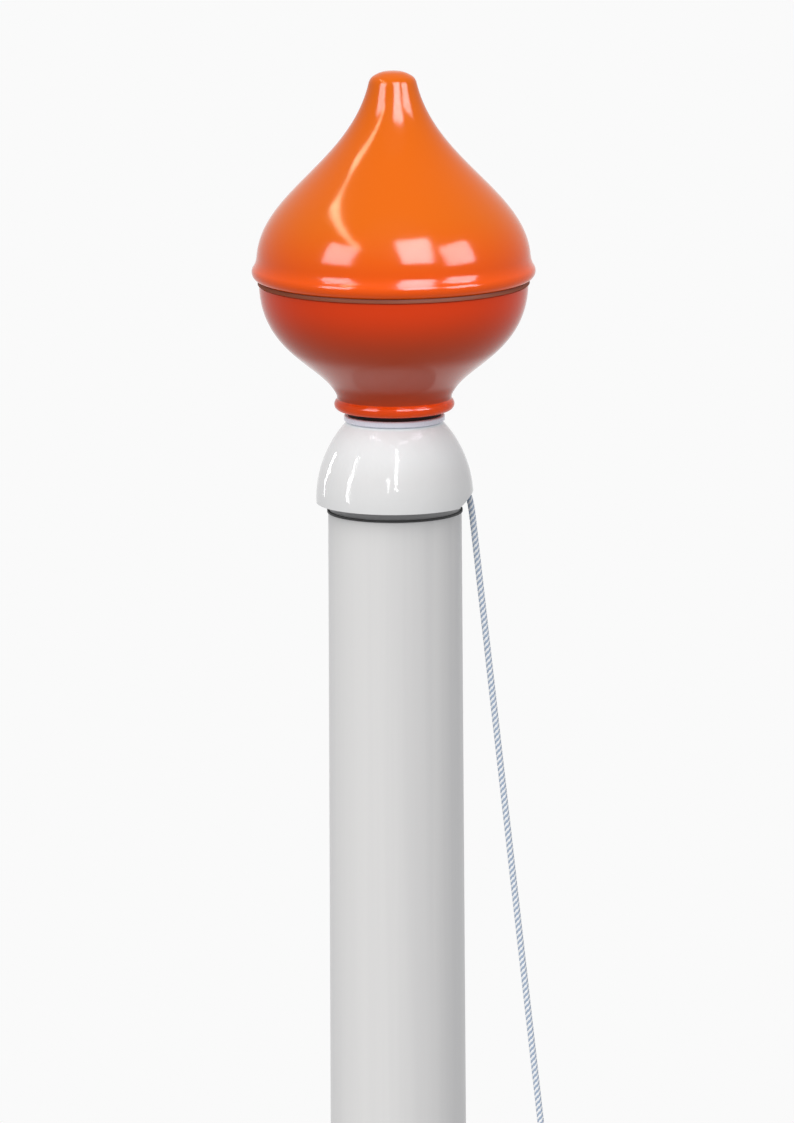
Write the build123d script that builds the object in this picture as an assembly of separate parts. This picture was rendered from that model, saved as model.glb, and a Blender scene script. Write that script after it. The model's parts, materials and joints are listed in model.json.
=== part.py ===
from build123d import *
import os
from math import acos, atan, cos, pi, radians, sin, sqrt, tan

# A 6 m flagpole: conical tube on a bolted foot, halyard inside the tube, turning head with an onion
# finial, lockable hatch over a cord cleat, and a winch worked with a crank.
# Millimetres, +Z up, origin under the middle of the foot plate, hatch and crank on the -Y side.

# Pole tube
pole_length = 6000
pole_base_diameter = 110
pole_top_diameter = 76
pole_wall = 4

# Foot
plate_side = 220
plate_thickness = 12
plate_corner_radius = 18
bolt_spacing = 160
bolt_hole_diameter = 18
spigot_length = 300
spigot_bore_diameter = 89
spigot_foot_diameter = 101
spigot_gap = 0.25
collar_height = 34
collar_thickness = 5
edge_break = 1.5

# Hatch over the cleat
hatch_height = 1420
hatch_width = 48
hatch_length = 162
hatch_rim = 2.6
hatch_ledge = 2.1
rim_proud = 1.6
cover_thickness = 2.8
cover_gap = 0.4
housing_wall = 2.75
housing_depth = 25
housing_floor = 2.4
skin_gap = 0.1
recess_flat = 1.7
tab_width = 14
tab_height = 3
tab_reach = 5
tab_root = 1
tab_seat = 0.2

# Fittings in the hatch, measured down from its top or up from its bottom
eye_drop = 22
eye_diameter = 18
eye_tube_diameter = 11
eye_hole_diameter = 8
eye_flange_thickness = 1.6
eye_lip = 0.8
cleat_drop = 69
cleat_width = 18
cleat_length = 64
cleat_height = 13
cleat_edge = 1.2
cleat_tooth_pitch = 4
cleat_tooth_width = 2.2
screw_hole_diameter = 4.2
screw_seat_diameter = 8
screw_seat_depth = 4
plug_drop = 117
plug_diameter = 19
plug_rise = 3
plug_edge = 0.8
plug_dish = 0.7
drain_drop = 137.5
small_hole_diameter = 4
catch_width = 13
catch_reach = 8
catch_thickness = 3
catch_corner = 2
catch_gap = 0.5

# Lock in the cover
lock_rise = 23
lock_diameter = 12
lock_sleeve_diameter = 14.6
lock_flange_diameter = 20
lock_skirt = 2
lock_edge = 0.8
lock_proud = 2.2
lock_length = 13
core_recess = 0.4
cam_gap = 0.8
cam_hub_diameter = 12
cam_length = 14
cam_width = 8
cam_thickness = 2
cam_corner = 1.5
key_blade_width = 7
key_blade_depth = 7.8
key_neck = 4
key_thickness = 2
key_bow_diameter = 22
key_hole_diameter = 5

# Winch and crank
winch_height = 1030
rosette_diameter = 42
rosette_proud = 3.5
rosette_depth = 8
rosette_step = 1.5
sleeve_diameter = 34
barrel_diameter = 22
barrel_proud = 2.5
drive_square = 12
drive_depth = 18
drum_core_diameter = 18
drum_flange_diameter = 48
drum_width = 58
drum_flange_thickness = 3
drum_side_gap = 5
drum_shoulder = 3
drum_end_play = 0.3
axle_overhang = 1
wound_diameter = 40
frame_width = 50
frame_height = 86
frame_thickness = 3
tie_diameter = 6
axle_diameter = 10
shaft_diameter = 16
shaft_length = 45
boss_diameter = 20
boss_thickness = 12
crank_radius = 115
crank_angle = -40
boss_edge = 1.5
dimple_diameter = 8
dimple_depth = 4
arm_diameter = 7
eye_boss_diameter = 16
eye_boss_thickness = 9.8
spindle_diameter = 7
spindle_head_diameter = 11
spindle_head_thickness = 2
spindle_collar_diameter = 10
grip_end_gap = 1
grip_diameter = 20
grip_length = 50

# Turning head; heights in it are counted up from the rim of the cap
gasket_overhang = 0.6
gasket_thickness = 1.2
head_flange_diameter = 74.8
head_flange_thickness = 3.6
head_boss_length = 60
head_boss_wall = 4
flange_edge = 0.5
flange_web = 6
washer_thickness = 1.0
washer_diameter = 60
washer_play = 0.5
cap_rim_diameter = 89.6
cap_top_diameter = 53.6
cap_height = 46.8
cap_side_radius = 65.5
cap_wall = 2.5
cap_top_thickness = 3
cap_edge = 1.2
outlet_half_width = 26
outlet_height = 6.5
stem_diameter = 30
stem_wall = 5
stem_overhang = 6
clip_groove_depth = 1.5
clip_groove_width = 2
clip_width = 5.4
clip_play = 0.1
clip_opening = 8
bracket_radius = 36
bracket_thickness = 3
cheek_thickness = 3
bridge_thickness = 3.5
bridge_back = 14
bridge_front = 24
bridge_slope = 18
stud_diameter = 12
nut_across_flats = 19
nut_height = 8
thread_end = 4
stud_play = 0.3

# Sheave
sheave_pitch_radius = 15
sheave_height = 20
sheave_flange_radius = 17.6
sheave_width = 9
sheave_side_gap = 1
sheave_edge = 0.6
sheave_lip = 0.8
sheave_axle_diameter = 8
axle_head_overhang = 1.5
axle_collar_overhang = 2
bush_diameter = 12

# Onion finial; its two shells follow cubic curves
spacer_diameter = 57.2
spacer_thickness = 3.4
seal_diameter = 53
seal_thickness = 2
finial_wall = 2.5
finial_floor = 3
finial_diameter = 155.6
finial_tip_diameter = 26
finial_tip_rise = 5.5
finial_bowl_height = 74.4
finial_crown_height = 102
finial_neck_diameter = 66.4
finial_neck_height = 8.6
neck_ring_diameter = 68
bead_diameter = 161
bead_height = 10.6
lap_height = 14
lap_gap = 0.4
seam_gap = 0.8
bowl_setback = 1.5

# Halyard
halyard_diameter = 4
halyard_slope = 6.1
halyard_fall_length = 400
halyard_gap = 0.3
outlet_x = 43.1
outlet_rise = 0.8
rim_bend_radius = 12
swivel_length = 14
swivel_edge = 1.5
hook_wire = 5
hook_length = 44
hook_inner_width = 13

# Running fit of pins, axles and turning sleeves, on the radius
fit = 0.1

pole_bottom_z = plate_thickness
pole_top_z = pole_bottom_z + pole_length
gasket_top_z = pole_top_z + gasket_thickness
flange_top_z = gasket_top_z + head_flange_thickness
washer_top_z = flange_top_z + washer_thickness
rim_z = flange_top_z + 0.8 * washer_thickness
cap_top_z = rim_z + cap_height
spacer_top_z = cap_top_z + spacer_thickness
finial_z = spacer_top_z + seal_thickness
sheave_z = rim_z + sheave_height
rope_radius = halyard_diameter / 2
low = (Align.CENTER, Align.CENTER, Align.MIN)


def pole_radius(z):
    """Outer radius of the tapered tube at a height."""
    share = (z - pole_bottom_z) / pole_length
    return (pole_base_diameter + (pole_top_diameter - pole_base_diameter) * share) / 2


def pole_cone(offset, z0, z1):
    """The tube's outer surface moved out by offset, as a solid between two heights."""
    return Pos(0, 0, z0) * Cone(pole_radius(z0) + offset, pole_radius(z1) + offset, z1 - z0, align=low)


def ring(outer, inner, z0, z1):
    """Plain ring about Z, from diameters."""
    body = Pos(0, 0, z0) * Cylinder(outer / 2, z1 - z0, align=low)
    return body - Pos(0, 0, z0) * Cylinder(inner / 2, z1 - z0, align=low)


def rod_y(diameter, y0, y1, x=0, z=0):
    """Round bar along Y between two places."""
    middle = Pos(x, (y0 + y1) / 2, z) * Rot(90, 0, 0)
    return middle * Cylinder(diameter / 2, abs(y1 - y0))


def box_between(x0, x1, y0, y1, z0, z1):
    centre = Pos((x0 + x1) / 2, (y0 + y1) / 2, (z0 + z1) / 2)
    return centre * Box(abs(x1 - x0), abs(y1 - y0), abs(z1 - z0))


def turned(points):
    """Solid of revolution about Z from the corners of its section (radius, height)."""
    return revolve(Plane.XZ * make_face(Polyline(*points, close=True)), Axis.Z)


def turned_y(points, x=0, z=0):
    """Solid of revolution about an axis along Y from corners (radius, distance towards -Y)."""
    return Pos(x, 0, z) * Rot(90, 0, 0) * turned(points)


def slot_y(width, length, y0, y1, z):
    """Upright slot-shaped bar through the front of the pole, from y0 forward to y1."""
    outline = Plane.XZ.offset(-y0) * SlotOverall(length, width, rotation=90)
    return Pos(0, 0, z) * extrude(outline, amount=y0 - y1)


hatch_front_y = -pole_radius(hatch_height)
hatch_top_z = hatch_height + hatch_length / 2
hatch_bottom_z = hatch_height - hatch_length / 2
rebate_width = hatch_width - 2 * hatch_rim
rebate_length = hatch_length - 2 * hatch_rim
recess_width = rebate_width - 2 * hatch_ledge
recess_length = rebate_length - 2 * hatch_ledge
body_width = recess_width + 2 * housing_wall
body_length = recess_length + 2 * housing_wall
floor_y = hatch_front_y + housing_depth
recess_floor_y = floor_y - housing_floor
beyond_y = -pole_base_diameter
cover_seat = cover_gap * 0.75
cover_outside = rim_proud - cover_gap
cover_inside = cover_outside - cover_thickness


def hatch_band(offset):
    """The pole's surface moved out by offset, over the height of the hatch."""
    return pole_cone(offset, hatch_bottom_z - hatch_rim, hatch_top_z + hatch_rim)


# Foot -------------------------------------------------------------------------------------------

def base_plate():
    plate = Box(plate_side, plate_side, plate_thickness, align=low)
    plate = fillet(plate.edges().filter_by(Axis.Z), plate_corner_radius)
    plate = chamfer(plate.faces().sort_by(Axis.Z)[-1].edges(), edge_break)
    for hole in GridLocations(bolt_spacing, bolt_spacing, 2, 2):
        plate -= hole * Cylinder(bolt_hole_diameter / 2, plate_thickness, align=low)
    return plate - Cylinder(spigot_foot_diameter / 2 + skin_gap, plate_thickness, align=low)


def base_spigot():
    """Tube welded into the plate; its outside tapers as the pole's bore does, and cables come up its bore."""
    top_z = pole_bottom_z + spigot_length
    outside = Cylinder(spigot_foot_diameter / 2, pole_bottom_z, align=low)
    outside += pole_cone(-pole_wall - spigot_gap, pole_bottom_z, top_z)
    return outside - Cylinder(spigot_bore_diameter / 2, top_z, align=low)


def base_collar():
    top_z = pole_bottom_z + collar_height
    skirt = pole_cone(collar_thickness, pole_bottom_z, top_z)
    skirt = chamfer(skirt.edges().sort_by(Axis.Z)[-1], collar_thickness * 0.6)
    return skirt - pole_cone(skin_gap, pole_bottom_z, top_z)


def pole_tube():
    tube = pole_cone(0, pole_bottom_z, pole_top_z) - pole_cone(-pole_wall, pole_bottom_z, pole_top_z)
    play = 2 * skin_gap
    tube -= slot_y(body_width + play, body_length + play, floor_y, beyond_y, hatch_height)
    return tube - rod_y(sleeve_diameter + play, 0, beyond_y, z=winch_height)


# Hatch ------------------------------------------------------------------------------------------

def recess():
    """Inside of the hatch, with the flat at its top where the cover's tab sits."""
    hollow = slot_y(recess_width, recess_length, recess_floor_y, beyond_y, hatch_height)
    top_z = hatch_height + recess_length / 2
    return hollow - box_between(-hatch_width, hatch_width, beyond_y, 0, top_z - recess_flat, top_z + hatch_rim)


def hatch_housing():
    outside = hatch_band(rim_proud)
    rim = slot_y(hatch_width, hatch_length, floor_y, beyond_y, hatch_height) & (outside - hatch_band(skin_gap))
    tub = slot_y(body_width, body_length, floor_y, beyond_y, hatch_height) & outside
    rebate = slot_y(rebate_width, rebate_length, floor_y, beyond_y, hatch_height)
    rebate -= hatch_band(cover_inside - cover_seat)
    housing = rim + tub - rebate - recess()
    housing -= rod_y(eye_tube_diameter + fit, 0, beyond_y, z=hatch_top_z - eye_drop)
    return housing - rod_y(small_hole_diameter, 0, beyond_y, z=hatch_top_z - drain_drop)


def rope_eye():
    bore, tube, flange = eye_hole_diameter / 2, eye_tube_diameter / 2, eye_diameter / 2
    seat, face = -recess_floor_y, eye_flange_thickness - recess_floor_y
    section = [(bore, -floor_y - eye_lip), (tube, -floor_y - eye_lip), (tube, seat), (flange, seat),
               (flange - eye_lip, face), (bore + eye_lip, face), (bore, face - eye_lip)]
    return turned_y(section, z=hatch_top_z - eye_drop)


def groove_cut(top_y, z, depth, mouth, root):
    """Cut that narrows from a rectangle (width, height) in the face at top_y to a smaller one at its depth."""
    face = Plane(origin=(0, top_y, z), x_dir=(1, 0, 0), z_dir=(0, 1, 0))
    return loft([(face * Rectangle(*mouth)).face(), (face.offset(depth) * Rectangle(*root)).face()])


def cleat_body():
    """Clam cleat: a slot-shaped block with a V groove whose sides carry slanting teeth."""
    z = hatch_top_z - cleat_drop
    top_y = recess_floor_y - cleat_height
    block = slot_y(cleat_width, cleat_length, recess_floor_y, top_y, z)
    block = fillet(block.edges().filter_by(Plane.XZ).group_by(Axis.Y)[0], cleat_edge)
    screw_pitch = cleat_length - cleat_width
    depth = cleat_height * 0.75
    mouth_width, throat_width, root_width = cleat_width * 0.55, halyard_diameter * 1.6, halyard_diameter * 0.4
    tooth_count = int((screw_pitch - 2 * cleat_tooth_pitch) / cleat_tooth_pitch)
    groove_length = tooth_count * cleat_tooth_pitch
    block -= groove_cut(top_y, z, depth, (throat_width, groove_length), (root_width, groove_length))
    for number in range(tooth_count):
        tooth_z = z + (number + 0.5 - tooth_count / 2) * cleat_tooth_pitch
        mouth, root = (mouth_width, cleat_tooth_pitch + 0.02), (root_width, cleat_tooth_width)
        block -= groove_cut(top_y, tooth_z, depth, mouth, root)
    for screw_z in (z - screw_pitch / 2, z + screw_pitch / 2):
        block -= rod_y(screw_hole_diameter, recess_floor_y, top_y, z=screw_z)
        block -= rod_y(screw_seat_diameter, top_y + screw_seat_depth, top_y, z=screw_z)
    return block


def stop_plug():
    base, rim = -recess_floor_y, plug_diameter / 2
    face, dish = base + plug_rise, base + plug_rise - plug_dish
    section = [(0, base), (rim, base), (rim, face - plug_edge), (rim - plug_edge, face),
               (rim - 3 * plug_edge, face), (rim - 4 * plug_edge, dish), (0, dish)]
    return turned_y(section, z=hatch_top_z - plug_drop)


lock_z = hatch_bottom_z + lock_rise
lock_face_y = hatch_front_y - cover_outside - lock_proud
sleeve_end_y = lock_face_y + lock_length
cam_front_y = sleeve_end_y + cam_gap
catch_back_y = cam_front_y - catch_gap


def catch_lug():
    """Lug across the bottom of the recess, with a foot; the lock's cam turns in behind it."""
    recess_end_z = hatch_height - recess_length / 2
    lug = box_between(-catch_width / 2, catch_width / 2, catch_back_y, catch_back_y - catch_thickness,
                      recess_end_z - hatch_ledge, recess_end_z + catch_reach)
    bore = slot_y(recess_width, recess_length, floor_y, beyond_y, hatch_height)
    lug = fillet(lug.edges().filter_by(Axis.Y).sort_by(Axis.Z)[-2:], catch_corner)
    return lug & bore


def hatch_cover():
    plan = slot_y(rebate_width - 2 * cover_gap, rebate_length - 2 * cover_gap, floor_y, beyond_y, hatch_height)
    cover = plan & (hatch_band(cover_outside) - hatch_band(cover_inside))
    tab_top_z = hatch_height + recess_length / 2 - recess_flat - cover_gap
    tab_front_y = hatch_front_y - cover_inside + tab_seat
    cover += box_between(-tab_width / 2, tab_width / 2, tab_front_y - tab_root, tab_front_y + tab_reach,
                         tab_top_z - tab_height, tab_top_z)
    return cover - rod_y(lock_sleeve_diameter + 2 * fit, 0, beyond_y, z=lock_z)


def sleeve_column():
    return rod_y(lock_sleeve_diameter, 0, beyond_y, z=lock_z)


def lock_housing():
    """Fixed part of the lock: a sleeve through the cover under a round flange."""
    bore, sleeve, flange = lock_diameter / 2 + fit, lock_sleeve_diameter / 2, lock_flange_diameter / 2
    section = [(bore, -sleeve_end_y), (sleeve, -sleeve_end_y), (sleeve, -hatch_front_y),
               (flange, -hatch_front_y - lock_skirt), (flange, -lock_face_y - lock_edge),
               (flange - lock_edge, -lock_face_y), (bore, -lock_face_y)]
    return turned_y(section, z=lock_z) - (hatch_band(cover_outside + skin_gap) - sleeve_column())


def lock_plug():
    """Turning core with its keyway, long enough to carry the cam."""
    return rod_y(lock_diameter, lock_face_y + core_recess, cam_front_y, z=lock_z) - key_blank(fit)


def key_blank(play):
    """Blade of the key, upright in the core."""
    half_width, half_height = key_thickness / 2 + play, key_blade_width / 2 + play
    return box_between(-half_width, half_width, lock_face_y - key_neck, lock_face_y + key_blade_depth + play,
                       lock_z - half_height, lock_z + half_height)


def lock_cam():
    back_y = cam_front_y + cam_thickness
    hub = rod_y(cam_hub_diameter, cam_front_y, back_y, z=lock_z)
    arm = box_between(0, cam_length, cam_front_y, back_y, lock_z - cam_width / 2, lock_z + cam_width / 2)
    return hub + fillet(arm.edges().filter_by(Axis.Y).sort_by(Axis.X)[-2:], cam_corner)


def key():
    bow_y = lock_face_y - key_neck - key_bow_diameter / 2 + 1
    across = Rot(0, 90, 0)
    bow = Pos(0, bow_y, lock_z) * across * Cylinder(key_bow_diameter / 2, key_thickness)
    hole = Pos(0, bow_y - key_bow_diameter / 4, lock_z) * across * Cylinder(key_hole_diameter / 2, key_thickness)
    return bow + key_blank(0) - hole


# Winch and crank --------------------------------------------------------------------------------

winch_front_y = -pole_radius(winch_height)
rosette_face_y = winch_front_y - rosette_proud
barrel_face_y = rosette_face_y - barrel_proud
drum_half = drum_width / 2
frame_front_y = -(drum_half + drum_side_gap)
frame_outside_y = frame_front_y - frame_thickness


def winch_rosette():
    """Stepped ring on the pole's face, in one piece with its sleeve through the wall."""
    rim, bore, sleeve = rosette_diameter / 2, barrel_diameter / 2 + fit, sleeve_diameter / 2
    face, back = -rosette_face_y, -winch_front_y - rosette_depth
    trough = face - rosette_step
    inner_face = face - 0.4
    section = [(bore, -frame_outside_y), (sleeve, -frame_outside_y), (sleeve, back), (rim, back), (rim, trough),
               (rim - 1.5, face), (rim - 3.5, face), (rim - 4.5, trough), (rim - 6.5, trough),
               (rim - 7.5, inner_face), (bore + 0.6, inner_face), (bore, face - 1)]
    body = turned_y(section, z=winch_height)
    wall = pole_cone(skin_gap, winch_height - rosette_diameter, winch_height + rosette_diameter)
    return body - (wall - rod_y(sleeve_diameter, 0, beyond_y, z=winch_height))


def winch_frame():
    """Two slot-shaped plates joined by tie bars above and below the drum."""
    front = slot_y(frame_width, frame_height, frame_front_y, frame_outside_y, winch_height)
    rear = slot_y(frame_width, frame_height, -frame_outside_y, -frame_front_y, winch_height)
    front -= rod_y(barrel_diameter + 2 * fit, frame_front_y, frame_outside_y, z=winch_height)
    rear -= rod_y(axle_diameter + 2 * fit, -frame_front_y, -frame_outside_y, z=winch_height)
    frame = front + rear
    tie_rise = frame_height / 2 - tie_diameter * 1.2
    for side in (-1, 1):
        frame += rod_y(tie_diameter, frame_outside_y, -frame_outside_y, z=winch_height + side * tie_rise)
    return frame


def drive_socket(play, depth):
    half = drive_square / 2 + play
    return box_between(-half, half, barrel_face_y, barrel_face_y + depth, winch_height - half, winch_height + half)


def winch_drum():
    core, flange = drum_core_diameter / 2, drum_flange_diameter / 2
    barrel, axle = barrel_diameter / 2, axle_diameter / 2
    rear, rear_cheek = frame_outside_y - axle_overhang, frame_front_y + drum_end_play
    front_cheek, nose = -frame_front_y - drum_end_play, -barrel_face_y
    inner = drum_half - drum_flange_thickness
    section = [(0, rear), (axle, rear), (axle, rear_cheek), (axle + drum_shoulder, rear_cheek),
               (axle + drum_shoulder, -drum_half), (flange, -drum_half), (flange, -inner), (core, -inner),
               (core, inner), (flange, inner), (flange, drum_half), (barrel + 2, drum_half),
               (barrel + 2, front_cheek), (barrel, front_cheek), (barrel, nose - 0.8), (barrel - 0.8, nose), (0, nose)]
    return turned_y(section, z=winch_height) - drive_socket(0, drive_depth)


def drum_turns():
    """Rope wound on the drum: a sleeve whose outside bulges once for each turn."""
    length = drum_width - 2 * drum_flange_thickness - 2 * halyard_gap
    turns = int(length / halyard_diameter)
    start = -turns * halyard_diameter / 2
    crest, valley = wound_diameter / 2, wound_diameter / 2 - rope_radius * 0.55
    edges = [Line((drum_core_diameter / 2, start), (valley, start))]
    for number in range(turns):
        foot = start + number * halyard_diameter
        edges.append(ThreePointArc((valley, foot), (crest, foot + rope_radius), (valley, foot + halyard_diameter)))
    edges.append(Line((valley, -start), (drum_core_diameter / 2, -start)))
    edges.append(Line((drum_core_diameter / 2, -start), (drum_core_diameter / 2, start)))
    sleeve = revolve(Plane.XZ * make_face(edges), Axis.Z)
    return Pos(0, 0, winch_height) * Rot(90, 0, 0) * sleeve


shaft_end_y = barrel_face_y - shaft_length
arm_y = shaft_end_y + boss_thickness / 2
grip_x = crank_radius * cos(radians(crank_angle))
grip_z = winch_height + crank_radius * sin(radians(crank_angle))
eye_back_y, eye_front_y = arm_y + eye_boss_thickness / 2, arm_y - eye_boss_thickness / 2
grip_start_y = eye_front_y - grip_end_gap
grip_end_y = grip_start_y - grip_length


def crank_hub():
    """Shaft with a square end in the drum, and the boss that carries the arm."""
    shaft = rod_y(shaft_diameter, barrel_face_y - drum_end_play, shaft_end_y, z=winch_height)
    boss = rod_y(boss_diameter, shaft_end_y + boss_thickness, shaft_end_y, z=winch_height)
    boss = chamfer(boss.edges().sort_by(Axis.Y)[0], boss_edge)
    tenon = drive_socket(-fit, drive_depth - 0.5)
    half = drive_square / 2 - fit
    tenon += box_between(-half, half, barrel_face_y, barrel_face_y - 1, winch_height - half, winch_height + half)
    dimple = rod_y(dimple_diameter, shaft_end_y + dimple_depth, shaft_end_y, z=winch_height)
    return shaft + boss + tenon - dimple - crank_arm_bar(boss_diameter / 4)


def crank_arm_bar(start):
    """Round bar from the boss towards the grip."""
    length = crank_radius - eye_boss_diameter / 4 - start
    along = Pos(0, arm_y, winch_height) * Rot(0, -crank_angle, 0) * Pos(start + length / 2, 0, 0)
    return along * Rot(0, 90, 0) * Cylinder(arm_diameter / 2, length)


def crank_arm():
    """Arm with the flat round boss at its outer end, bored for the grip's spindle."""
    boss = rod_y(eye_boss_diameter, eye_back_y, eye_front_y, grip_x, grip_z)
    bore = rod_y(spindle_diameter, eye_back_y, eye_front_y, grip_x, grip_z)
    return crank_arm_bar(boss_diameter / 4) + boss - bore


def grip_spindle():
    """Pin through the boss, with a head at each end to keep the grip on."""
    head_y = grip_end_y - grip_end_gap / 2
    pin = rod_y(spindle_diameter, eye_back_y, head_y, grip_x, grip_z)
    pin += rod_y(spindle_head_diameter, eye_back_y + spindle_head_thickness, eye_back_y, grip_x, grip_z)
    pin += rod_y(spindle_head_diameter, head_y, head_y - spindle_head_thickness, grip_x, grip_z)
    return pin + rod_y(spindle_collar_diameter, eye_front_y, grip_start_y + 0.3, grip_x, grip_z)


def crank_grip():
    """Barrel-shaped handle that turns on the spindle."""
    bore, belly, neck = spindle_diameter / 2 + fit, grip_diameter / 2, grip_diameter * 0.42
    near, far = -grip_start_y, -grip_end_y
    side = ThreePointArc((neck, near), (belly, (near + far) / 2), (neck, far))
    edges = [Line((bore, near), (neck, near)), side, Line((neck, far), (bore, far)), Line((bore, far), (bore, near))]
    return Pos(grip_x, 0, grip_z) * Rot(90, 0, 0) * revolve(Plane.XZ * make_face(edges), Axis.Z)


# Turning head -----------------------------------------------------------------------------------

bearing_bore = stem_diameter / 2 + fit


def head_gasket():
    bore = 2 * (pole_radius(pole_top_z) - pole_wall)
    return ring(pole_top_diameter + 2 * gasket_overhang, bore, pole_top_z, gasket_top_z)


def head_plug():
    """Plug: a skirt in the pole's bore under a flange that lies on the pole's end."""
    bottom_z = pole_top_z - head_boss_length
    skirt = pole_radius(pole_top_z) - pole_wall - spigot_gap
    flange = head_flange_diameter / 2
    bore = bearing_bore + head_boss_wall
    return turned([(skirt - head_boss_wall, bottom_z), (skirt, bottom_z), (skirt, gasket_top_z),
                   (flange, gasket_top_z), (flange, flange_top_z - flange_edge),
                   (flange - flange_edge, flange_top_z), (bore, flange_top_z), (bore, pole_top_z - flange_web),
                   (skirt - head_boss_wall, pole_top_z - flange_web)])


def bearing_tube():
    """Tube pressed into the plug, in which the head's stem turns."""
    bottom_z = pole_top_z - head_boss_length
    return ring(2 * (bearing_bore + head_boss_wall), 2 * bearing_bore, bottom_z, flange_top_z)


def bearing_washer():
    return ring(washer_diameter, stem_diameter + 2 * washer_play, flange_top_z, washer_top_z)


bracket_z = washer_top_z + fit
cheek_y = sheave_width / 2 + sheave_side_gap
bridge_top_z = cap_top_z - cap_top_thickness
stem_bottom_z = pole_top_z - head_boss_length - stem_overhang
clip_groove_z = stem_bottom_z + 2


def swivel_bracket():
    """Hollow stem, round plate, two cheeks beside the sheave and a bridge over it."""
    plate_top_z = bracket_z + bracket_thickness
    cheek_outside = cheek_y + cheek_thickness
    plate = Pos(0, 0, bracket_z) * Cylinder(bracket_radius, bracket_thickness, align=low)
    stem = ring(stem_diameter, stem_diameter - 2 * stem_wall, stem_bottom_z, bracket_z)
    stem -= ring(stem_diameter + 1, stem_diameter - 2 * clip_groove_depth, clip_groove_z,
                 clip_groove_z + clip_groove_width)
    block = box_between(-bridge_back, bracket_radius - 4, -cheek_outside, cheek_outside, bracket_z, bridge_top_z)
    slope = box_between(bridge_front, bracket_radius, -bracket_radius, bracket_radius,
                        rim_z + sheave_height * 0.6, bridge_top_z)
    corner = Pos(bridge_front, 0, bridge_top_z)
    slope = corner * Rot(0, -bridge_slope, 0) * corner.inverse() * slope
    throat = box_between(-bridge_back - 1, bracket_radius, -cheek_y, cheek_y, plate_top_z,
                         bridge_top_z - bridge_thickness)
    slot = box_between(-rope_radius * 2.5, bracket_radius - 3, -cheek_y, cheek_y, bracket_z, plate_top_z)
    pin = rod_y(sheave_axle_diameter, -bracket_radius, bracket_radius, sheave_pitch_radius, sheave_z)
    stud = Pos(0, 0, bridge_top_z - bridge_thickness) * Cylinder(stud_diameter / 2, bridge_thickness, align=low)
    return plate + stem + (block - slope - throat) - slot - pin - stud


def stem_clip():
    """Retaining ring in the stem's groove, under the plug."""
    inner = stem_diameter - 2 * clip_groove_depth + 2 * clip_play
    top_z = clip_groove_z + clip_groove_width
    clip = ring(inner + 2 * clip_width, inner, clip_groove_z + clip_play, top_z - clip_play)
    return clip - box_between(0, stem_diameter, -clip_opening / 2, clip_opening / 2, clip_groove_z, top_z)


def cap_section(inset, top_z):
    """Half section of the cap's outside or inside: flat top and one arc down to the rim."""
    rim, edge = cap_rim_diameter / 2 - inset, cap_radius_at(top_z - rim_z, inset)
    middle_h = (top_z - rim_z) / 2
    side = ThreePointArc((rim, rim_z), (cap_radius_at(middle_h, inset), rim_z + middle_h), (edge, top_z))
    return make_face([Line((0, rim_z), (rim, rim_z)), side, Line((edge, top_z), (0, top_z)),
                      Line((0, top_z), (0, rim_z))])


def cap_radius_at(height, inset):
    """Radius of the cap's side at a height over its rim; the side is an arc through rim and top edge."""
    rim, top = cap_rim_diameter / 2, cap_top_diameter / 2
    chord = sqrt((rim - top) ** 2 + cap_height ** 2)
    tilt = atan((rim - top) / cap_height)
    reach = sqrt(cap_side_radius ** 2 - chord ** 2 / 4)
    centre_x = (rim + top) / 2 - reach * cos(tilt)
    centre_h = cap_height / 2 - reach * sin(tilt)
    return centre_x + sqrt((cap_side_radius - inset) ** 2 - (height - centre_h) ** 2)


def cap_dome():
    """Bell-shaped cap with an arched outlet for the halyard in its rim."""
    outside = revolve(Plane.XZ * cap_section(0, cap_top_z), Axis.Z)
    outside = fillet(outside.edges().sort_by(Axis.Z)[-1], cap_edge)
    inside = revolve(Plane.XZ * cap_section(cap_wall, cap_top_z - cap_top_thickness), Axis.Z)
    left, right = (-outlet_half_width, rim_z), (outlet_half_width, rim_z)
    arch = make_face([ThreePointArc(left, (0, rim_z + outlet_height), right), Line(right, left)])
    outlet = extrude(Plane.YZ * arch, amount=cap_rim_diameter)
    hole = Pos(0, 0, cap_top_z - 2 * cap_top_thickness) * Cylinder(stud_diameter / 2 + stud_play, cap_height, align=low)
    return outside - inside - outlet - hole


def sheave():
    """Grooved wheel for the halyard."""
    half, flare, bore = sheave_width / 2, sheave_flange_radius, bush_diameter / 2
    groove_radius = rope_radius + halyard_gap
    mouth_half = half - sheave_lip
    wheel = turned_y([(bore, -half), (flare - sheave_edge, -half), (flare, sheave_edge - half),
                      (flare, half - sheave_edge), (flare - sheave_edge, half), (bore, half)],
                     sheave_pitch_radius, sheave_z)
    mouth = [(sheave_pitch_radius - groove_radius, 0), (sheave_pitch_radius, -groove_radius),
             (flare + 1, -mouth_half), (flare + 1, mouth_half), (sheave_pitch_radius, groove_radius)]
    wheel -= turned_y(mouth, sheave_pitch_radius, sheave_z)
    groove = revolve(Plane.XZ * Pos(sheave_pitch_radius, 0) * Circle(groove_radius), Axis.Z)
    return wheel - Pos(sheave_pitch_radius, 0, sheave_z) * Rot(90, 0, 0) * groove


def sheave_bush():
    bore, half = sheave_axle_diameter / 2 + fit, cheek_y - fit
    section = [(bore, -half), (bush_diameter / 2, -half), (bush_diameter / 2, half), (bore, half)]
    return turned_y(section, sheave_pitch_radius, sheave_z)


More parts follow.
